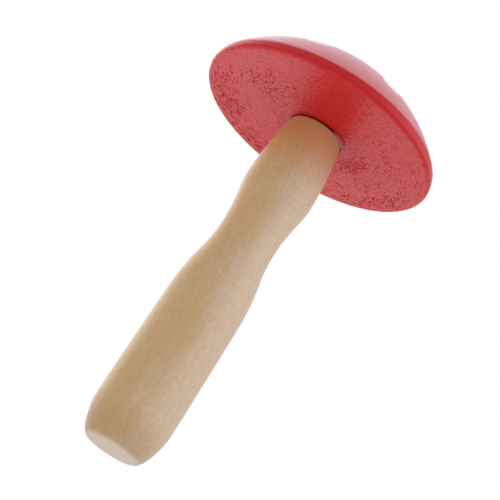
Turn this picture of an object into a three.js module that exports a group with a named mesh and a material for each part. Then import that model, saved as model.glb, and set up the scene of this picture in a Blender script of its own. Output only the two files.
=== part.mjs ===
// A darning mushroom: a domed wooden cap on a turned wooden handle. The handle's tenon is glued
// into a socket bored in the middle of the cap's flat underside. Nothing moves.
// Sizes are in millimetres. +Z runs up the turning axis, through the handle to the cap's crown,
// and the origin is the middle of the flat at the handle's free end.

import * as THREE from 'three';

// The cap, measured up from its flat underside.
const CAP_DIAMETER = 72;
const CAP_HEIGHT = 22;
const RIM_HEIGHT = 3.2; // the band that stands round the edge, below the dome
const RIM_CORNER_RADIUS = 1.2; // the rounding from the underside up into the band
const RIM_LEAN = 11; // degrees that the band leans in towards its top
const DOME_SLOPE = 54; // degrees at which the dome sets off from the rim
const DOME_FULLNESS = 0.62; // how far the dome keeps to its slopes before it turns, as a share
const WOOD_OVER_SOCKET = 9; // left between the socket's end and the crown

// The handle's diameters, from its free end up to the cap.
const FOOT_DIAMETER = 15.6; // the small flat that it stands on
const GRIP_DIAMETER = 22.8; // the fullest part of the grip, near the free end
const GRIP_TOP_DIAMETER = 22.3; // where the grip starts to narrow
const WAIST_DIAMETER = 17.1;
const SWELL_DIAMETER = 20.6; // the bulge between the waist and the cap
const NECK_DIAMETER = 16.5; // at the shoulder, just under the cap

// The lengths between those places, in the same order.
const END_LENGTH = 11; // flat to fullest part
const GRIP_LENGTH = 32.4;
const TAPER_LENGTH = 26.6; // grip to waist
const WAIST_LENGTH = 16.4; // waist to swell
const NECK_LENGTH = 21.1; // swell to shoulder

// How the outline runs between them: the shares of each length for which it keeps close to the
// lower place's width and to the upper place's.
const GRIP_FLOW = [0.4, 0.1];
const TAPER_FLOW = [0.59, 0.41];
const WAIST_FLOW = [0.5, 0.22];
const NECK_FLOW = [0.5, 0.25];
const END_FLOW = [0, 0.3];

// How it turns at the handle's two ends.
const FOOT_SLOPE = 30; // degrees at which the rounded end leaves the flat
const FOOT_REACH = 2.2; // how far it keeps to that slope
const NECK_TAPER = 8.3; // degrees by which the neck widens away from the shoulder

// The joint between the two.
const SHOULDER_WIDTH = 2.3; // the step in from the neck to the tenon
const SHOULDER_ROUNDING = 0.5;
const TENON_CHAMFER = 1;
const GLUE_GAP = 0.3; // all round the tenon
const SHOULDER_GAP = 0.4; // the dark line between the shoulder and the cap
const END_GAP = 1; // room for glue past the tenon's end

// The facets round each piece, and the straight steps that stand for each curve of its outline.
const CAP_FACETS = 72;
const HANDLE_FACETS = 48;
const STEPS = { corner: 6, dome: 24, end: 9, grip: 3, taper: 8, waist: 7, neck: 7, shoulder: 3 };

const radians = THREE.MathUtils.degToRad;
const at = (radius, height) => new THREE.Vector2(radius, height);

// What follows from the sizes above.
const handleLength = END_LENGTH + GRIP_LENGTH + TAPER_LENGTH + WAIST_LENGTH + NECK_LENGTH;
const undersideHeight = handleLength + SHOULDER_GAP;
const tenonRadius = NECK_DIAMETER / 2 - SHOULDER_WIDTH;
const socketRadius = tenonRadius + GLUE_GAP;
const socketDepth = CAP_HEIGHT - WOOD_OVER_SOCKET;
const tenonTop = undersideHeight + socketDepth - END_GAP;

// A piece turned on the axis from an outline of (radius, height) points, which starts and ends
// on the axis with the solid on its left.
function turned(name, outline, facets, finish) {
  const geometry = new THREE.LatheGeometry(outline, facets);
  geometry.rotateX(Math.PI / 2);
  const mesh = new THREE.Mesh(geometry, new THREE.MeshStandardMaterial(finish));
  mesh.name = name;
  return mesh;
}

// The cap's outline: the socket, the flat underside, the rounded rim band and the dome.
function capOutline() {
  const lean = radians(RIM_LEAN);
  const cornerRadius = CAP_DIAMETER / 2 - RIM_CORNER_RADIUS;
  const corner = new THREE.EllipseCurve(
    cornerRadius, RIM_CORNER_RADIUS, RIM_CORNER_RADIUS, RIM_CORNER_RADIUS, -Math.PI / 2, lean,
  );
  const cornerTop = corner.getPoint(1);
  const rimTop = at(cornerTop.x - (RIM_HEIGHT - cornerTop.y) * Math.tan(lean), RIM_HEIGHT);
  const crown = at(0, CAP_HEIGHT);
  // The dome's two slopes, at the rim and level at the crown, meet above the rim.
  const meeting = at(rimTop.x - (CAP_HEIGHT - RIM_HEIGHT) / Math.tan(radians(DOME_SLOPE)), CAP_HEIGHT);
  const dome = new THREE.CubicBezierCurve(
    rimTop, rimTop.clone().lerp(meeting, DOME_FULLNESS), crown.clone().lerp(meeting, DOME_FULLNESS), crown,
  );
  return [
    at(0, socketDepth),
    at(socketRadius, socketDepth),
    at(socketRadius, 0),
    ...corner.getPoints(STEPS.corner),
    ...dome.getPoints(STEPS.dome),
  ];
}

// A run of the handle's outline between two places on it, along the axis at both ends.
function run(from, to, [lower, upper]) {
  const length = to.y - from.y;
  return new THREE.CubicBezierCurve(
    from, at(from.x, from.y + lower * length), at(to.x, to.y - upper * length), to,
  );
}

// The handle's outline: flat foot, rounded end, grip, waist, swell, neck, shoulder and tenon.
function handleOutline() {
  const foot = at(FOOT_DIAMETER / 2, 0);
  const grip = at(GRIP_DIAMETER / 2, END_LENGTH);
  const gripTop = at(GRIP_TOP_DIAMETER / 2, grip.y + GRIP_LENGTH);
  const waist = at(WAIST_DIAMETER / 2, gripTop.y + TAPER_LENGTH);
  const swell = at(SWELL_DIAMETER / 2, waist.y + WAIST_LENGTH);
  const shoulder = at(NECK_DIAMETER / 2, handleLength - SHOULDER_ROUNDING);

  const end = run(foot, grip, END_FLOW);
  const footTurn = radians(FOOT_SLOPE);
  end.v1.add(at(FOOT_REACH * Math.cos(footTurn), FOOT_REACH * Math.sin(footTurn)));
  const neck = run(swell, shoulder, NECK_FLOW);
  neck.v2.x += (shoulder.y - neck.v2.y) * Math.tan(radians(NECK_TAPER));
  const rounding = new THREE.EllipseCurve(
    shoulder.x - SHOULDER_ROUNDING, shoulder.y, SHOULDER_ROUNDING, SHOULDER_ROUNDING, 0, Math.PI / 2,
  );
  return [
    at(0, 0),
    ...end.getPoints(STEPS.end),
    ...run(grip, gripTop, GRIP_FLOW).getPoints(STEPS.grip).slice(1),
    ...run(gripTop, waist, TAPER_FLOW).getPoints(STEPS.taper).slice(1),
    ...run(waist, swell, WAIST_FLOW).getPoints(STEPS.waist).slice(1),
    ...neck.getPoints(STEPS.neck).slice(1),
    ...rounding.getPoints(STEPS.shoulder).slice(1),
    at(tenonRadius, handleLength),
    at(tenonRadius, tenonTop - TENON_CHAMFER),
    at(tenonRadius - TENON_CHAMFER, tenonTop),
    at(0, tenonTop),
  ];
}

const paint = { color: 0xb3282b, roughness: 0.42, metalness: 0 }; // red, satin
const varnish = { color: 0xc6a27b, roughness: 0.48, metalness: 0 }; // clear, over pale wood

const mushroom = new THREE.Group();
const cap = turned('cap', capOutline(), CAP_FACETS, paint);
cap.position.z = undersideHeight;
mushroom.add(cap);
mushroom.add(turned('handle', handleOutline(), HANDLE_FACETS, varnish));

export default mushroom;
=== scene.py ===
import math

import bpy
import numpy as np
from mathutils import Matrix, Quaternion, Vector


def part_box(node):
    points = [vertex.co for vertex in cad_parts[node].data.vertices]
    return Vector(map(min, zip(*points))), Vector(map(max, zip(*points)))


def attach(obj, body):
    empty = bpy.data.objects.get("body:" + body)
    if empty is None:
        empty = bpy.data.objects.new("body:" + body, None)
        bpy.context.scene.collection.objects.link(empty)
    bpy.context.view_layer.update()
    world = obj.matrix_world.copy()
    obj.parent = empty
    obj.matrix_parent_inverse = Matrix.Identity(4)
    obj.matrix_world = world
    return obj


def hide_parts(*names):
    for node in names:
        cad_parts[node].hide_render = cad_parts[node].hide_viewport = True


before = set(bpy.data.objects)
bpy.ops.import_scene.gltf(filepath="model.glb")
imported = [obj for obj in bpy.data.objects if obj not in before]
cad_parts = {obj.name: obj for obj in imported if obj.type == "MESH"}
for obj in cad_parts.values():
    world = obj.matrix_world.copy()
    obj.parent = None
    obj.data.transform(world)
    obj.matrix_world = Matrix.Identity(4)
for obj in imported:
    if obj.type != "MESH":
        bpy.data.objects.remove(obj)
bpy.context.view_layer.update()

# A darning mushroom: a domed cap on a turned handle. Sizes are in metres. Places and heights inside
# a finish, and in the relief that goes with it, are in millimetres.

# The handle: one turning in pale close-grained wood, sanded smooth and coated with clear satin
# varnish. It stands on the small flat at its free end, and its tenon is glued into the cap.

NEAR = 1e-6  # places closer than this count as one
MILLIMETRES = 1000  # in a metre
CAD_ROUNDING_STEPS = 3  # in the solid's shoulder, which a finer rounding replaces
HANDLE_SHOULDER_ROUNDING = 0.0002  # at the end of the neck, under the cap
HANDLE_PRESSED = 0.00025  # how far the shoulder closes the clearance under the cap
HANDLE_EASE = 0.0003  # how far sanding has softened the handle's edges
HANDLE_FLOW = 0.0016  # the reach over which its long curves are fair
HANDLE_SPACING = 0.0005  # between the rings of its surface
HANDLE_POINTS = 192  # round each ring
HANDLE_HAND = 0.00006  # how far its surface wanders, as a hand-held gouge leaves it
HANDLE_WAVES = (110, 110, 160)  # waves of that a metre, across and along it
HANDLE_STEADY = (0.0002, 0.006)  # heights over the flat between which they set in

HEARTWOOD = Vector((-0.656, -0.755))  # the side of it that was nearest the middle of the tree
CORE = 7.0  # nearer the axis than this, the wood's sides aren't told apart
GOLDEN_SIDE = (4.9, 11)  # where gold sets in: 10 is the heartwood's side, -10 the one opposite
PALE_WOOD = (0.58, 0.425, 0.29, 1)
GOLDEN_WOOD = (0.535, 0.318, 0.122, 1)
BROWN_GRAIN = (0.38, 0.22, 0.11, 1)
END_GRAIN = (2, 13)  # heights between which the rounded end's grain gives way to the grip's
# The amber on the neck is painted red bounce light and shade from the cap.
CAP_BOUNCE_AMBER = (0.66, 0.285, 0.07, 1)
CAP_BOUNCE_HEIGHTS = (86, 106)  # heights between which the wood turns amber towards the cap: painted red bounce light and shade from the cap
TOOL_LINE = (80.6, 81.0, 81.5)  # foot, middle and head of a fine line just under the swell
LINE_WOOD = (0.75, 0.65, 0.5, 1)
FOOT_WOOD = (0.63, 0.52, 0.43, 1)
FOOT_EDGE = (0.05, 0.9)  # heights between which the flat's paler wood ends


def cad_outline(node):
    """A turned CAD piece's outline, from the axis round to the axis again, as (radius, height)."""
    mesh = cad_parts[node].data
    on_plane = [abs(v.co.y) < NEAR and v.co.x > -NEAR for v in mesh.vertices]
    places = [(round(v.co.x, 6), round(v.co.z, 6)) for v in mesh.vertices]
    beside = {}
    for edge in mesh.edges:
        a, b = edge.vertices
        if on_plane[a] and on_plane[b] and places[a] != places[b]:
            beside.setdefault(places[a], set()).add(places[b])
            beside.setdefault(places[b], set()).add(places[a])
    path = [min((place for place in beside if place[0] == 0), key=lambda place: place[1])]
    while beside[path[-1]] - set(path):
        path.append((beside[path[-1]] - set(path)).pop())
    return np.array(path)


def along(path):
    """How far along the path each of its places is."""
    return np.concatenate([[0], np.cumsum(np.linalg.norm(np.diff(path, axis=0), axis=1))])


def placed(path, at):
    """The places on the path at these distances along it."""
    far = along(path)
    return np.stack([np.interp(at, far, path[:, k]) for k in (0, 1)], 1)


def faired(path, reach, step=0.0001):
    """The path in even steps, each place averaged with those within reach of it. Its ends stay."""
    total = along(path)[-1]
    even = placed(path, np.linspace(0, total, max(3, 2 * round(total / step / 2) + 1)))
    n = min(round(reach / step), len(even) - 1)
    if n < 1:
        return even
    before = 2 * even[0] - even[n:0:-1]
    after = 2 * even[-1] - even[-2:-n - 2:-1]
    weights = np.bartlett(2 * n + 3)[1:-1]
    padded = np.concatenate([before, even, after])
    return np.stack([np.convolve(padded[:, k], weights / weights.sum(), "valid") for k in (0, 1)], 1)


def arc(centre, radius, first, last, steps=12):
    """Places on an arc, from the first angle to the last in degrees."""
    angles = np.radians(np.linspace(first, last, steps + 1))
    return np.array(centre) + radius * np.stack([np.cos(angles), np.sin(angles)], 1)


def spaced(path, spacing, turn=5):
    """Places along the path, spacing apart, and closer where it turns more than turn degrees."""
    steps = np.diff(path, axis=0)
    heading = np.unwrap(np.arctan2(steps[:, 1], steps[:, 0]))
    bend = np.abs(np.gradient(heading)) if len(heading) > 2 else 0 * heading
    cost = np.linalg.norm(steps, axis=1) / spacing + bend / math.radians(turn)
    cost = np.concatenate([[0], np.cumsum(cost)])
    wanted = np.linspace(0, cost[-1], math.ceil(cost[-1]) + 1)
    return placed(path, np.interp(wanted, cost, along(path)))


def ringed(path, points):
    """Rows of (radius, height, points round)."""
    return [(radius, height, points) for radius, height in path]


def shown(name, data):
    """A new object of the scene with this data."""
    thing = bpy.data.objects.new(name, data)
    bpy.context.scene.collection.objects.link(thing)
    return thing


def turned(name, rows):
    """A smooth closed piece turned on the Z axis from rows of (radius, height, points round)."""
    places, rings, faces = [], [], []
    for radius, height, points in rows:
        points = 1 if radius < NEAR / 10 else points
        rings.append((len(places), points))
        for k in range(points):
            angle = 2 * math.pi * k / points
            places.append((radius * math.cos(angle), radius * math.sin(angle), height))
    for (start, n), (end, m) in zip(rings, rings[1:]):
        most = max(n, m)
        for k in range(most):
            corners = [
                start + k * n // most,
                start + (k + 1) * n // most % n,
                end + (k + 1) * m // most % m,
                end + k * m // most,
            ]
            faces.append(list(dict.fromkeys(corners)))
    mesh = bpy.data.meshes.new(name)
    mesh.from_pydata(places, [], [face for face in faces if len(face) > 2])
    mesh.shade_smooth()
    return shown(name, mesh)


class Wire:
    """A socket in a node tree. Python sums on it add maths nodes, and node() adds any other."""

    def __init__(self, tree, socket=None):
        self.tree = tree
        self.socket = socket

    def node(self, kind, settings=None, values=None, out=None):
        """Adds a node, makes its settings, then its inputs, and gives its first or named output."""
        node = self.tree.nodes.new(kind)
        for name, setting in (settings or {}).items():
            setattr(node, name, setting)
        for name, value in (values or {}).items():
            socket = next(s for s in node.inputs if s.enabled and name in (s.name, s.identifier))
            if isinstance(value, Wire):
                self.tree.links.new(value.socket, socket)
            else:
                socket.default_value = value
        ends = [s for s in node.outputs if s.enabled and out in (None, s.name)]
        return Wire(self.tree, ends[0] if ends else None)

    def other(self, name):
        """Another output of the same node."""
        return Wire(self.tree, self.socket.node.outputs[name])

    def maths(self, operation, first, second=0.0):
        """A Math node, or a Vector Math node where either value is a vector. Colours turn grey."""
        pair = [first, second]
        wired = [value.socket.type for value in pair if isinstance(value, Wire)]
        if "VECTOR" in wired or any(isinstance(value, tuple) for value in pair):
            pair = [(v, v, v) if isinstance(v, (int, float)) else v for v in pair]
            values = {"Vector": pair[0], "Vector_001": pair[1]}
            return self.node("ShaderNodeVectorMath", {"operation": operation}, values)
        values = {"Value": first}
        if operation not in ("SINE", "COSINE"):
            values["Value_001"] = second
        return self.node("ShaderNodeMath", {"operation": operation}, values)

    def __add__(self, other):
        return self.maths("ADD", self, other)

    def __sub__(self, other):
        return self.maths("SUBTRACT", self, other)

    def __rsub__(self, other):
        return self.maths("SUBTRACT", other, self)

    def __mul__(self, other):
        return self.maths("MULTIPLY", self, other)

    def __truediv__(self, other):
        return self.maths("DIVIDE", self, other)

    def __lt__(self, other):
        return self.maths("LESS_THAN", self, other)

    __radd__ = __add__
    __rmul__ = __mul__

    def step(self, low, high):
        """A soft step from 0 at low to 1 at high."""
        values = {"Value": self, "From Min": low, "From Max": high}
        return self.node("ShaderNodeMapRange", {"interpolation_type": "SMOOTHSTEP"}, values)

    def part(self, name):
        """One of a vector's parts, X, Y or Z."""
        return self.node("ShaderNodeSeparateXYZ", values={"Vector": self}, out=name)

    def length(self):
        """How long a vector is."""
        return self.node("ShaderNodeVectorMath", {"operation": "LENGTH"}, {"Vector": self}, "Value")

    def off_axis(self):
        """How far a place is from the Z axis."""
        return (self * (1, 1, 0)).length()

    def towards(self, angle):
        """How far a place is out from the Z axis on the side at this angle."""
        return self.part("X") * math.cos(angle) + self.part("Y") * math.sin(angle)

    def joined(self, x, y, z):
        """A vector from three parts."""
        return self.node("ShaderNodeCombineXYZ", values={"X": x, "Y": y, "Z": z})

    def noise(self, detail=2.0, roughness=0.5):
        """Noise on this vector, about 0.5, with features about one unit apart."""
        values = {"Vector": self, "Scale": 1.0, "Detail": detail, "Roughness": roughness}
        return self.node("ShaderNodeTexNoise", {"noise_dimensions": "3D"}, values)

    def mixed(self, first, second):
        """A colour between two others, by this share."""
        values = {"Factor": self, "A": first, "B": second}
        return self.node("ShaderNodeMix", {"data_type": "RGBA"}, values)

    def shader(self, values):
        """A Principled surface."""
        return self.node("ShaderNodeBsdfPrincipled", values=values)

    def blended(self, first, second):
        """A surface between two others, by this share."""
        values = {"Fac": self, "Shader": first, "Shader_001": second}
        return self.node("ShaderNodeMixShader", values=values)

    def relief(self):
        """A Bump node for this height in millimetres."""
        values = {"Height": self, "Strength": 1.0, "Distance": 1 / MILLIMETRES}
        return self.node("ShaderNodeBump", values=values)


def start_finish(name):
    """An empty material, and a wire in it to its object coordinates in millimetres."""
    material = bpy.data.materials.new(name)
    material.use_nodes = True
    tree = material.node_tree
    tree.nodes.clear()
    place = Wire(tree).node("ShaderNodeTexCoord", out="Object")
    return material, place * MILLIMETRES


def end_finish(place, surface):
    """Shows the surface on the material."""
    place.node("ShaderNodeOutputMaterial", values={"Surface": surface})


def start_tree(name, sizes):
    """An empty geometry tree with a piece, a finish and these named sizes as its inputs."""
    tree = bpy.data.node_groups.new(name, "GeometryNodeTree")
    tree.interface.new_socket("Piece", in_out="INPUT", socket_type="NodeSocketGeometry")
    tree.interface.new_socket("Finish", in_out="INPUT", socket_type="NodeSocketMaterial")
    for size in sizes:
        tree.interface.new_socket(size, in_out="INPUT", socket_type="NodeSocketFloat")
    tree.interface.new_socket("Piece", in_out="OUTPUT", socket_type="NodeSocketGeometry")
    group = tree.nodes.new("NodeGroupInput")
    return tree, {socket.name: Wire(tree, socket) for socket in group.outputs if socket.name}


def end_tree(shape, finish):
    """Ends a geometry tree with its instances made real and its finish laid on."""
    shape = shape.node("GeometryNodeRealizeInstances", values={"Geometry": shape})
    shape = shape.node("GeometryNodeSetMaterial", values={"Geometry": shape, "Material": finish})
    shape.node("NodeGroupOutput", values={"Piece": shape})


def grown(piece, tree, values):
    """Runs the tree on the piece with these inputs and keeps the result as a plain mesh."""
    modifier = piece.modifiers.new(tree.name, "NODES")
    modifier.node_group = tree
    for item in tree.interface.items_tree:
        if item.in_out == "INPUT" and item.name in values:
            modifier[item.identifier] = values[item.name]
    bpy.context.view_layer.update()
    result = piece.evaluated_get(bpy.context.evaluated_depsgraph_get())
    mesh = bpy.data.meshes.new_from_object(result)
    mesh.shade_smooth()
    piece.modifiers.clear()
    piece.data = mesh


def moved_out(shape, height):
    """The shape's surface moved out along its normals by a height in metres."""
    normal = shape.node("GeometryNodeInputNormal")
    settings = {"operation": "SCALE"}
    offset = shape.node("ShaderNodeVectorMath", settings, {"Vector": normal, "Scale": height})
    return shape.node("GeometryNodeSetPosition", values={"Geometry": shape, "Offset": offset})


def varnished_wood():
    """Pale close-grained wood, golden on its heartwood side, under a satin varnish."""
    material, place = start_finish("varnished_wood")
    x = place.part("X")
    y = place.part("Y")
    z = place.part("Z")
    towards = x * HEARTWOOD.x + y * HEARTWOOD.y
    across = x * HEARTWOOD.y - y * HEARTWOOD.x
    clouds = (place * (0.15, 0.15, 0.045)).noise(3.0, 0.55) - 0.5
    blotches = (place * (0.6, 0.6, 0.14)).noise(3.0, 0.6) - 0.5
    specks = (place * (1.2, 1.2, 0.9)).noise(3.0, 0.75) - 0.5
    fibres = (place * (2.2, 2.2, 0.4)).noise(2.0, 0.6) - 0.5
    grain = specks * 2 + fibres * 0.5
    layers = place.joined(towards * 0.42 + clouds * 2.2, across * 0.05, z * 0.012)
    layers = layers.noise(2.0, 0.6) - 0.5
    end_grain = 1 - (z + clouds * 10).step(*END_GRAIN)
    facing = towards / place.maths("MAXIMUM", place.off_axis(), CORE)
    gold = (facing * 10 + clouds * 9.5).step(*GOLDEN_SIDE) * 0.95
    gold = gold + end_grain * 0.24 + layers * 0.7 + blotches * 0.8 + 0.05
    line_foot, line_middle, line_head = TOOL_LINE
    line = z.step(line_foot, line_middle) * (1 - z.step(line_middle, line_head))
    neck = (z + clouds * 8).step(*CAP_BOUNCE_HEIGHTS)
    foot = 1 - z.step(*FOOT_EDGE)
    colour = (gold + grain * 0.3).mixed(PALE_WOOD, GOLDEN_WOOD)
    colour = (grain * 0.5 + 0.08 + end_grain * 0.33).mixed(colour, BROWN_GRAIN)
    colour = (line * 0.07).mixed(colour, LINE_WOOD)
    # Painted red bounce light and shade from the cap, on the neck just under it.
    colour = (neck * (0.55 + grain * 0.25)).mixed(colour, CAP_BOUNCE_AMBER)
    colour = (foot * (0.75 + specks * 0.8)).mixed(colour, FOOT_WOOD)
    height = grain * 0.012 + clouds * 0.04
    values = {
        "Base Color": colour,
        "Roughness": 0.46 + specks * 0.3 + foot * 0.1,
        "IOR": 1.6,
        "Normal": height.relief(),
    }
    end_finish(place, place.shader(values))
    return material


def hand_turned():
    """A tree that lets a turned surface wander a little, as it does under a hand-held gouge."""
    tree, given = start_tree("hand_turned", ["Wander"])
    place = given["Piece"].node("GeometryNodeInputPosition")
    wander = (place * HANDLE_WAVES).noise(1.0) - 0.5
    off_foot = place.part("Z").step(*HANDLE_STEADY)
    shape = moved_out(given["Piece"], wander * given["Wander"] * off_foot)
    end_tree(shape, given["Finish"])
    return tree


# The outlines that the solids have, and the handle's own long curves up to its shoulder.
handle_outline = cad_outline("handle")
cap_outline = cad_outline("cap")
cap_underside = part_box("cap")[0].z
shoulder = handle_outline[handle_outline[:, 1] < cap_underside][:, 1].max()
tenon_start = int(np.argmax(handle_outline[:, 1] >= shoulder - NEAR)) + 1
rounding_start = tenon_start - 1 - CAD_ROUNDING_STEPS
handle_side = handle_outline[:rounding_start + 1]
handle_side = faired(handle_side[handle_side[:, 0] > 0], HANDLE_FLOW)

# The neck runs on up to the pressed shoulder, turns over it, and goes in to the tenon.
shoulder += HANDLE_PRESSED
neck_lean = (handle_side[-1] - handle_side[-3]) / (handle_side[-1, 1] - handle_side[-3, 1])
neck_top = shoulder - HANDLE_SHOULDER_ROUNDING
neck_end = handle_side[-1] + neck_lean * (neck_top - handle_side[-1, 1])
tenon = handle_outline[tenon_start:].copy()
tenon[:, 1] = np.maximum(tenon[:, 1], shoulder)
handle_path = np.concatenate([
    handle_outline[:1],
    handle_side,
    arc(neck_end - (HANDLE_SHOULDER_ROUNDING, 0), HANDLE_SHOULDER_ROUNDING, 0, 90),
    tenon,
])
handle_path = spaced(faired(handle_path, HANDLE_EASE), HANDLE_SPACING)
handle = turned("turned_handle", ringed(handle_path, HANDLE_POINTS))
grown(handle, hand_turned(), {"Wander": HANDLE_HAND, "Finish": varnished_wood()})
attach(handle, "root")
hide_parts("handle")

# The cap: a dome turned on the face of a short block, so its grain runs across it. It is painted
# red. The paint is smooth on the dome and rim, and lies over torn grain on the flat underside.

CAP_CORNER_EASE = 0.00025  # how far paint has softened the corner under the band
CAP_BAND_EASE = 0.0008  # how far sanding has softened the edge between band and dome
CAP_DOME_FLOW = 0.002  # the reach over which the dome's curve is fair
CAP_DOME_SPACING = 0.0009  # between the rings of the dome's surface
CAP_UNDERSIDE_SPACING = 0.00024  # between those of the underside, which carries fine relief
CAP_UNDERSIDE_END = 0.0005  # how far short of the rounded corner those closer rings stop
CAP_DOME_POINTS = 192  # round each ring of the dome
CAP_SOCKET_POINTS = 96
CAP_UNDERSIDE_POINTS = [(0.0205, 768), (0.0105, 384), (0, 192)]  # by a ring's least radius
CAP_SKIN = 0.00006  # left inside the crown for the white paint
CAP_LEVEL = 0.002  # how far the underside is held level before the rounded corner
RIM_CORNER_RADIUS = 0.0012

TOOL_RINGS = 0.00012  # height of the ridges and fibres that the turning tool left underneath
TORN_DEPTH = 0.00016  # depth of the pits where it tore the grain
RELIEF_EDGE = (0.00003, 0.00025)  # heights over the underside between which the relief ends
RELIEF_START = (6.4, 7.4)  # radii between which it begins, under the handle's shoulder
RINGS_FADE = (21, 29)  # radii between which the tool's rings grow faint
SWEEP_RADIUS = 22  # where the way round the cap is measured
SWEEP_COSINE = 0.87  # of the angle, about 30 degrees, at which the tool's sweep crosses the rings
SWEEP_SINE = 0.5
MOST_TORN = 1.6  # the roughest that a place gets, on the scale of the list below
# Where it tore most: radius and half width in millimetres, azimuth and half length in degrees,
# and how much more of the grain there it tore, or less.
TORN_ARCS = [
    (30, 5, 128, 38, 0.8),
    (30, 4, 176, 26, 0.4),
    (25.5, 2.2, -150, 16, 0.6),
    (18, 3, -142, 28, 0.6),
    (15, 3, 20, 24, 1.4),
    (31, 2.5, 40, 20, 0.6),
    (32, 2.5, -62, 8, 0.6),
    (22, 18, -88, 26, -0.7),
    (32, 6, -132, 34, -0.5),
]

BAND_FOOT = (0.2, 0.9)  # heights over the underside between which the rim band begins
BAND_HEAD = (2.8, 3.8)  # heights between which it gives way to the dome
BLOOM_SHADE_LEAN = 0.03  # the slope, higher towards +X, of where the band's finish gives way to the dome's bloom: painted shade that holds the bloom back on that side
RAISED_LIT_RED = (0.69, 0.0085, 0.0135, 1)  # on the fibres: partly the paint's own speckled tone, partly painted light on their tops
HOLLOW_SHADED_RED = (0.50, 0.005, 0.0085, 1)  # between them: partly the paint's own speckled tone, partly painted shade in the hollows
SMOOTH_RED = (0.49, 0.005, 0.0078, 1)  # on the band and the dome
DULL_SHADE_RED = (0.49, 0.004, 0.006, 1)  # without gloss, mixed in as painted shade in the pits, grooves and lip, and towards +X


def round_cap(place, across, along):
    """Places as coordinates with this many units a millimetre across and along the cap's rings."""
    flat = place * (1, 1, 0)
    return place.joined(flat.length() * across, flat.part("X") * along, flat.part("Y") * along)


def tool_rings(place):
    """Height about 0 of the turning ridges on the cap's underside, by place in millimetres."""
    bent = place + (place * (0.1, 0.1, 0)).noise(1.0) * 1.5
    inner = 1 - place.off_axis().step(*RINGS_FADE) * 0.6
    return (round_cap(bent, 0.8, 0.03).noise(2.0, 0.7) - 0.5) * inner


def swirled(place, across, along):
    """Places as coordinates across and along the spiral that the tool's edge swept on the cap.

    Their one seam runs out along +Y.
    """
    inward = place.off_axis()
    round_it = place.maths("ARCTAN2", place.part("X"), 0 - place.part("Y")) * SWEEP_RADIUS
    u = (inward * SWEEP_COSINE - round_it * SWEEP_SINE) * across
    v = (inward * SWEEP_SINE + round_it * SWEEP_COSINE) * along
    return place.joined(u, v, 0.0)


def raised_grain(place):
    """Height about 0 of the fibres that the tool raised there, drawn out along its sweep."""
    return swirled(place, 1.45, 0.65).noise(3.0, 0.6) - 0.5


def roughest(place):
    """How much of the grain the tool tore, from 0 to MOST_TORN: most where it met rising fibres."""
    far = place.off_axis()
    bent = place + (place * (0.12, 0.12, 0)).noise(1.0) * 4
    share = (round_cap(bent, 0.25, 0.06).noise(2.0) - 0.5) * 1.4 + 0.23

    # Each arc fades away along itself between 0.4 and 1.4 of its half length.
    for radius, width, azimuth, length, most in TORN_ARCS:
        aside = (far - radius) / width
        facing = place.towards(math.radians(azimuth)) / far
        near = facing.step(math.cos(math.radians(length * 1.4)), math.cos(math.radians(length * 0.4)))
        share = share + (1 - aside * aside).step(-0.6, 1) * near * most
    return place.maths("MINIMUM", place.maths("MAXIMUM", share, 0.0), MOST_TORN)


def torn_grain(place, share):
    """Depth from 0 to 1 of the short pits where this share of the grain is torn."""
    settings = {"voronoi_dimensions": "2D", "feature": "F1"}
    values = {"Vector": swirled(place, 2.6, 0.6), "Scale": 1.0}
    cells = place.node("ShaderNodeTexVoronoi", settings, values, "Distance")
    pits = 1 - cells.step(0.12, 0.45)
    return pits * (share * 0.5 - cells.other("Color").part("X")).step(-0.1, 0.2)


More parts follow.
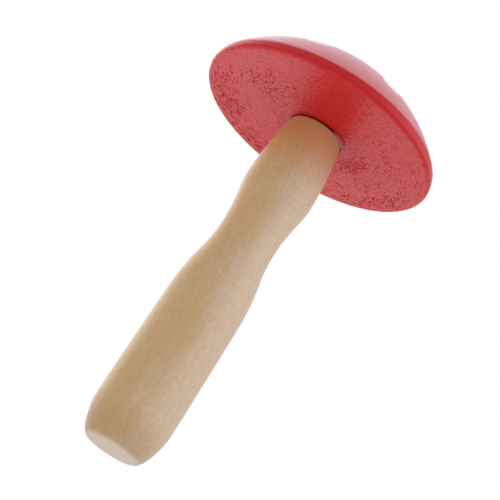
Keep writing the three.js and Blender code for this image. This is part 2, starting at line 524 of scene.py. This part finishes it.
def red_paint():
    """Satin red paint, thin over the torn grain underneath, with a bloom on the dome."""
    material, place = start_finish("red_paint")
    x = place.part("X")
    height = place.part("Z") - cap_underside * MILLIMETRES
    under = 1 - height.step(*BAND_FOOT)
    # The dome's bloom starts higher towards +X: painted shade on that side.
    above = (height - x * BLOOM_SHADE_LEAN).step(*BAND_HEAD)
    band = height.step(*BAND_FOOT) * (1 - above)
    lip = above.step(0, 0.25) * (1 - above.step(0.25, 0.8))

    # What the tool left underneath, and the paint's own unevenness.
    share = roughest(place)
    torn = torn_grain(place, share) * under
    fibres = raised_grain(place)
    rings = tool_rings(place)
    grooves = (0.0 - fibres - rings * 0.45).step(0, 0.2) * (0.37 + share * 0.27) * under
    peel = (place * 0.5).noise(2.0) - 0.5
    specks = (place * 2).noise(2.0) - 0.5
    # Lighter on the raised fibres and darker between them: painted light and shade, over the paint's
    # own speckled tone.
    colour = (specks * 0.5 + 0.5 - fibres * under).mixed(RAISED_LIT_RED, HOLLOW_SHADED_RED)
    colour = (band * 0.8 + above * 0.5).mixed(colour, SMOOTH_RED)
    ridges = (fibres * 0.35 + rings * 0.6) * under
    relief = (ridges + peel * 0.02 + fibres * above * 0.08 - torn * 0.12).relief()

    # Three kinds of gloss, and a dull red without gloss, mixed in as painted shade in the pits, the
    # grooves and the lip between band and dome.
    skin = {"Base Color": colour, "Normal": relief, "Specular Tint": (0.92, 0.92, 1, 1)}
    underneath = place.shader(skin | {"Roughness": 0.32 + torn * 0.3, "IOR": 1.45})
    rim = place.shader(skin | {"Roughness": 0.4 + peel * 0.1, "IOR": 1.34})
    bloom = {"Sheen Weight": 0.75, "Sheen Roughness": 0.5, "Sheen Tint": (0.93, 0.91, 1, 1)}
    dome = place.shader(skin | bloom | {"Roughness": 0.42 + fibres * 0.4, "IOR": 1.36})
    dull_shade = place.shader({
        "Base Color": DULL_SHADE_RED, "Normal": relief, "Roughness": 0.9, "IOR": 1.05,
    })

    # Painted shade: the gloss and the bloom are dulled more towards +X than towards -X. Underneath
    # they are also dulled where the grain is torn most.
    torn_and_shade_under = (x * 0.003 + share.step(0.7, 1.6) * 0.12) * under
    shade_above = (x * 0.002 + 0.03 + x.step(16, 36) * 0.28) * above
    surface = under.blended(above.blended(rim, dome), underneath)
    # How much of the dull red each place takes: painted shade in pits, grooves and lip, and towards
    # +X.
    dull_shade_share = torn * 1.2 + grooves * 0.8 + lip * 0.4 + torn_and_shade_under + shade_above
    end_finish(place, dull_shade_share.blended(surface, dull_shade))
    return material


def face_turned():
    """A tree that cuts the tool's ridges and the torn pits into the underside."""
    tree, given = start_tree("face_turned", ["Underside", "Ridge", "Pit"])
    metres = given["Piece"].node("GeometryNodeInputPosition")
    place = metres * (MILLIMETRES, MILLIMETRES, 0)
    flat = 1 - (metres.part("Z") - given["Underside"]).step(*RELIEF_EDGE)
    flat = flat * place.length().step(*RELIEF_START)
    ridges = (tool_rings(place) + raised_grain(place) - 0.5) * given["Ridge"]
    height = ridges - torn_grain(place, roughest(place)) * given["Pit"]
    end_tree(moved_out(given["Piece"], height * flat), given["Finish"])
    return tree


# The dome's curve, mirrored while it is made fair so that it stays level at the crown.
above_corner = cap_outline[:, 1] > cap_underside + RIM_CORNER_RADIUS * 1.5
rim_top = int(np.argmax(np.where(above_corner, cap_outline[:, 0], 0)))
dome_path = cap_outline[rim_top:].copy()
rise = dome_path[:, 1] - dome_path[0, 1]
dome_path[:, 1] -= CAP_SKIN * rise / rise[-1]
dome_path = faired(np.concatenate([dome_path, dome_path[-2::-1] * (-1, 1)]), CAP_DOME_FLOW)
dome_path = dome_path[:len(dome_path) // 2 + 1]
dome_path[-1, 0] = 0

# The way round from the socket: the flat underside, the rounded corner, the leaning band, the dome.
socket_path = cap_outline[:3]
band_start = cap_outline[rim_top - 1]
band_lean = math.degrees(math.atan2(band_start[0] - dome_path[0, 0], dome_path[0, 1] - band_start[1]))
corner_radius = cap_outline[:, 0].max() - RIM_CORNER_RADIUS
corner = arc((corner_radius, cap_underside + RIM_CORNER_RADIUS), RIM_CORNER_RADIUS, -90, band_lean)
band_and_dome = faired(np.concatenate([corner[-1:], dome_path]), CAP_BAND_EASE)
level = (corner_radius - CAP_LEVEL, cap_underside)
cap_path = np.concatenate([socket_path[-1:], [level], corner[:-1], band_and_dome])
cap_path = faired(cap_path, CAP_CORNER_EASE)
flat_end = int(np.argmax(cap_path[:, 0] > corner_radius - CAP_UNDERSIDE_END))
underside = spaced(cap_path[:flat_end + 1], CAP_UNDERSIDE_SPACING)
outside = spaced(cap_path[flat_end:], CAP_DOME_SPACING)

rows = ringed(socket_path[:-1], CAP_SOCKET_POINTS)
for radius, height in underside:
    points = next(count for least, count in CAP_UNDERSIDE_POINTS if radius >= least)
    rows.append((radius, height, points))
rows += ringed(outside[1:2], 2 * CAP_DOME_POINTS)
rows += ringed(outside[2:], CAP_DOME_POINTS)
cap = turned("painted_cap", rows)
grown(cap, face_turned(), {
    "Underside": cap_underside, "Ridge": TOOL_RINGS, "Pit": TORN_DEPTH, "Finish": red_paint(),
})
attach(cap, "root")
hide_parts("cap")

# The spots: dabs of white paint on the finished dome, seven of them round its edge. The five
# further in and the one on the crown are set out in the same way.

SPOT_RADIUS = 0.0034
SPOT_SIZES = (0.94, 1.06)  # the smallest and the largest, as shares of that
SPOT_FILM = 0.00005  # how far the white paint stands above the red
SPOT_SINK = 0.0003  # how far each dab reaches down into the red
SPOT_WAVER = 0.0005  # how far its outline strays
SPOT_WAVES = 450  # waves a metre in its outline
SPOT_CROWN = 0.6  # the power by which it rises inwards, under 1 for a flat top
SPOT_WHITE = (0.86, 0.84, 0.83, 1)
SPOT_DULL = (0.80, 0.76, 0.75, 1)
OUTER_SPOTS = 7
OUTER_RING = 0.0262  # from the axis to the middle of each spot
INNER_SPOTS = 5
INNER_RING = 0.014
FIRST_SPOT = math.radians(-118.4)


def white_paint():
    """Thick white paint, a little uneven."""
    material, place = start_finish("white_paint")
    clouds = (place * 0.8).noise(2.0) - 0.5
    colour = (clouds + 0.5).mixed(SPOT_WHITE, SPOT_DULL)
    values = {"Base Color": colour, "Roughness": 0.36 + clouds * 0.2, "IOR": 1.45}
    end_finish(place, place.shader(values | {"Normal": (clouds * 0.04).relief()}))
    return material


def dabbed_spots():
    """A tree that leaves only rings of thin round spots, laid on the dome that it is given."""
    sizes = ["Outer ring", "Inner ring", "First", "Radius", "Film", "Sink", "Waver"]
    tree, given = start_tree("dabbed_spots", sizes)
    dome = given["Piece"]
    position = dome.node("GeometryNodeInputPosition")

    # Where each spot is, and how it is turned.
    index = dome.node("GeometryNodeInputIndex")
    outer = index < OUTER_SPOTS
    inner = (index < OUTER_SPOTS + INNER_SPOTS) - outer
    apart = outer * (math.tau / OUTER_SPOTS) + inner * (math.tau / INNER_SPOTS)
    angle = given["First"] + index * apart
    reach = outer * given["Outer ring"] + inner * given["Inner ring"]
    place = dome.joined(reach * dome.maths("COSINE", angle), reach * dome.maths("SINE", angle), 1.0)
    points = dome.node("GeometryNodePoints", values={
        "Count": OUTER_SPOTS + INNER_SPOTS + 1, "Position": place,
    })
    hit = dome.node("GeometryNodeRaycast", None, {
        "Target Geometry": dome, "Ray Direction": (0, 0, -1), "Ray Length": 2.0,
    }, "Hit Position")
    facing = {"Vector": hit.other("Hit Normal")}
    upright = hit.node("FunctionNodeAlignRotationToVector", {"axis": "Z"}, facing)

    # A ball pressed flat, which remembers how high each of its places was.
    ball = dome.node("GeometryNodeMeshUVSphere", values={"Segments": 48, "Rings": 24, "Radius": 1.0})
    ball = dome.node("GeometryNodeStoreNamedAttribute", {"data_type": "FLOAT"}, {
        "Geometry": ball, "Name": "lift", "Value": position.part("Z"),
    })
    flat = position * (1, 1, 0) * given["Radius"]
    disc = dome.node("GeometryNodeSetPosition", values={"Geometry": ball, "Position": flat})

    # Each disc is set on the dome, and the greys of a noise make its outline stray a little.
    smallest, largest = SPOT_SIZES
    size = dome.node("FunctionNodeRandomValue", {"data_type": "FLOAT"}, {
        "Min": smallest, "Max": largest, "Seed": 4,
    })
    spots = dome.node("GeometryNodeInstanceOnPoints", values={
        "Points": points, "Instance": disc, "Rotation": upright, "Scale": size,
    })
    spots = dome.node("GeometryNodeTranslateInstances", values={
        "Instances": spots, "Translation": hit - position, "Local Space": False,
    })
    spots = dome.node("GeometryNodeRealizeInstances", values={"Geometry": spots})
    waver = ((position * SPOT_WAVES).noise().other("Color") - 0.5) * given["Waver"]
    spots = dome.node("GeometryNodeSetPosition", values={"Geometry": spots, "Offset": waver})

    # Then it is bent to the dome, with its upper half above the red paint and the rest inside it.
    nearest = dome.node("GeometryNodeProximity", {"target_element": "FACES"}, {"Target": dome})
    up = dome.node("GeometryNodeSampleNearestSurface", {"data_type": "FLOAT_VECTOR"}, {
        "Mesh": dome, "Value": dome.node("GeometryNodeInputNormal"),
    })
    lift = dome.node("GeometryNodeInputNamedAttribute", {"data_type": "FLOAT"}, {"Name": "lift"})
    proud = dome.maths("POWER", dome.maths("MAXIMUM", lift, 0.0), SPOT_CROWN) * given["Film"]
    sunk = dome.maths("MINIMUM", lift, 0.0) * given["Sink"]
    laid = nearest + up * (proud + sunk)
    spots = dome.node("GeometryNodeSetPosition", values={"Geometry": spots, "Position": laid})
    end_tree(spots, given["Finish"])
    return tree


white_spots = shown("white_spots", cap.data.copy())
grown(white_spots, dabbed_spots(), {
    "Outer ring": OUTER_RING, "Inner ring": INNER_RING, "First": FIRST_SPOT, "Radius": SPOT_RADIUS,
    "Film": SPOT_FILM, "Sink": SPOT_SINK, "Waver": SPOT_WAVER, "Finish": white_paint(),
})
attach(white_spots, "root")

# The glue: what was squeezed out of the joint when the tenon was pushed home. It has dried in the
# corner between neck and cap as an uneven bead, fattest on one side. Its dark colour is painted
# shade in the joint.

BEAD_RADIUS = 0.00027
BEAD_RING = 0.00825  # from the axis to the middle of the bead
BEAD_DROP = 0.00012  # from the cap's underside down to the middle of the bead
BEAD_POINTS = 200  # along the bead
BEAD_SIDES = 14  # round it
DRIP_SIDE = math.radians(-37)  # where it is fattest
DRIP_OUT = 0.00015  # how much further out it is there
DRIP_FAT = (0.88, 0.98)  # cosines of the angles from that side between which it fattens
DRIP_CLEAR = (0.88, 0.97)  # and between which it turns clear
# Dark red and brown: painted shade in the joint, where the dried glue lies.
JOINT_SHADE_RED = (0.30, 0.012, 0.008, 1)
JOINT_SHADE_BROWN = (0.12, 0.009, 0.005, 1)
CLEAR_GLUE = (0.36, 0.07, 0.09, 1)


def dried_glue():
    """Dried glue in the joint, dark red and brown as painted shade there, clear and glossy where it
    is fat.
    """
    material, place = start_finish("dried_glue")
    clouds = (place * 0.9).noise(2.0)
    facing = place.towards(DRIP_SIDE) / place.off_axis()
    drip = facing.step(*DRIP_CLEAR)
    # Darker towards the drip side and redder away from it: painted shade in the joint.
    colour = (facing + clouds * 0.6).step(-0.5, 0.3).mixed(JOINT_SHADE_RED, JOINT_SHADE_BROWN)
    values = {
        "Base Color": drip.mixed(colour, CLEAR_GLUE),
        "Roughness": 0.6,
        "IOR": 1.1,
        "Coat Weight": drip,
        "Coat Roughness": 0.15,
        "Normal": (clouds * 0.1).relief(),
    }
    end_finish(place, place.shader(values))
    return material


def squeezed_bead():
    """A tree that makes an uneven bead in a ring round the axis."""
    tree, given = start_tree("squeezed_bead", ["Bead", "Ring", "Height", "Drip side", "Drip out"])
    piece = given["Piece"]
    circle = "GeometryNodeCurvePrimitiveCircle"
    values = {"Resolution": BEAD_POINTS, "Radius": given["Ring"]}
    ring = piece.node(circle, {"mode": "RADIUS"}, values)
    values = {"Resolution": BEAD_SIDES, "Radius": given["Bead"]}
    profile = piece.node(circle, {"mode": "RADIUS"}, values)
    bead = piece.node("GeometryNodeCurveToMesh", values={"Curve": ring, "Profile Curve": profile})

    # Each place on it is moved out from the bead's middle line by how fat the bead is there.
    place = piece.node("GeometryNodeInputPosition")
    outward = place * (1, 1, 0)
    outward = outward / outward.length()
    side = given["Drip side"]
    facing = outward.part("X") * piece.maths("COSINE", side)
    facing = facing + outward.part("Y") * piece.maths("SINE", side)
    drip = facing.step(*DRIP_FAT)
    fat = (outward * 9).noise(2.0) * 1.5 + 0.2 + drip * 0.9
    fat = fat * (facing.step(-0.7, 0.4) * 0.5 + 0.5)
    line = outward * given["Ring"]
    middle = line + outward * (drip * given["Drip out"]) + piece.joined(0.0, 0.0, given["Height"])
    values = {"Geometry": bead, "Position": middle + (place - line) * fat}
    end_tree(piece.node("GeometryNodeSetPosition", values=values), given["Finish"])
    return tree


glue_bead = shown("glue_bead", bpy.data.meshes.new("glue_bead"))
grown(glue_bead, squeezed_bead(), {
    "Bead": BEAD_RADIUS, "Ring": BEAD_RING, "Height": cap_underside - BEAD_DROP,
    "Drip side": DRIP_SIDE, "Drip out": DRIP_OUT, "Finish": dried_glue(),
})
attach(glue_bead, "root")

# The stage: a plain pale floor under the mushroom, which shows from above only and fades into the
# white around it, and soft lamps.

FLOOR_DROP = 0.0001  # how far under the foot it lies
FLOOR_REACH = 3  # from the middle to its edges
FLOOR_CLEAR = 300  # millimetres from the middle to where the floor starts to fade
FLOOR_GONE = 1000  # and to where only the white around it shows
FLOOR_PALE = (0.9, 0.9, 0.9, 1)
WHITE = (1, 1, 1, 1)
ROOM = 0.78  # level of the light from all round
LAMP_AIM = Vector((0, 0, 0.07))
CAMERA_PLACE = (0, -0.39647, -0.084728)
CAMERA_TURN = -0.3216  # degrees, as are the next two
CAMERA_TILT = 90 + 20.9866
CAMERA_ROLL = 32.8673
CAMERA_LENS = 111.29  # millimetres, as is the next
CAMERA_SENSOR = 36
CAMERA_NEAREST = 0.01  # what is nearer to it isn't shown


def floor_finish():
    """Pale paper, clear from below and far off."""
    material, place = start_finish("floor")
    pale = place.node("ShaderNodeBsdfDiffuse", values={"Color": FLOOR_PALE})
    clear = place.node("ShaderNodeBsdfTransparent")
    behind = place.node("ShaderNodeNewGeometry", out="Backfacing")
    hidden = place.maths("MAXIMUM", behind, place.length().step(FLOOR_CLEAR, FLOOR_GONE))
    end_finish(place, hidden.blended(pale, clear))
    return material


def lamp(name, place, size, watts):
    """A square soft lamp aimed at the middle of the object."""
    light = bpy.data.lights.new(name, "AREA")
    light.energy = watts
    light.size = size
    lit = shown(name, light)
    lit.location = place
    lit.rotation_euler = (LAMP_AIM - lit.location).to_track_quat("-Z", "Y").to_euler()


floor_mesh = bpy.data.meshes.new("floor")
floor_corners = [
    (x * FLOOR_REACH, y * FLOOR_REACH, -FLOOR_DROP) for x, y in ((-1, -1), (1, -1), (1, 1), (-1, 1))
]
floor_mesh.from_pydata(floor_corners, [], [(0, 1, 2, 3)])
floor_mesh.materials.append(floor_finish())
floor = shown("floor", floor_mesh)
floor.visible_diffuse = False
floor.visible_glossy = False
floor.visible_transmission = False
floor.visible_shadow = False

world = bpy.data.worlds.new("studio")
bpy.context.scene.world = world
world.use_nodes = True
world.node_tree.nodes.clear()
sky = Wire(world.node_tree)
camera_ray = sky.node("ShaderNodeLightPath", out="Is Camera Ray")
seen = sky.maths("MAXIMUM", camera_ray, camera_ray.other("Is Glossy Ray"))
seen = sky.maths("MAXIMUM", seen, camera_ray.other("Is Transmission Ray"))
white = sky.node("ShaderNodeBackground", values={"Color": WHITE, "Strength": 1.0})
room = sky.node("ShaderNodeBackground", values={"Color": WHITE, "Strength": ROOM})
sky.node("ShaderNodeOutputWorld", values={"Surface": seen.blended(room, white)})

lamp("right", (0.8, -0.25, 0.5), 0.9, 2.8)
lamp("back left", (-0.65, 0.8, 0.55), 1.0, 4.5)
lamp("left", (-0.75, -0.15, -0.55), 0.8, 0.7)
lamp("behind", (0, 0.75, -0.55), 0.8, 0.8)

camera = shown("camera", bpy.data.cameras.new("camera"))
camera.location = CAMERA_PLACE
turn = Quaternion((0, 0, 1), math.radians(CAMERA_TURN))
tilt = Quaternion((1, 0, 0), math.radians(CAMERA_TILT))
roll = Quaternion((0, 0, 1), math.radians(CAMERA_ROLL))
camera.rotation_mode = "QUATERNION"
camera.rotation_quaternion = turn @ tilt @ roll
camera.data.sensor_fit = "HORIZONTAL"
camera.data.sensor_width = CAMERA_SENSOR
camera.data.lens = CAMERA_LENS
camera.data.clip_start = CAMERA_NEAREST
bpy.context.scene.camera = camera
bpy.context.scene.view_settings.view_transform = "Standard"
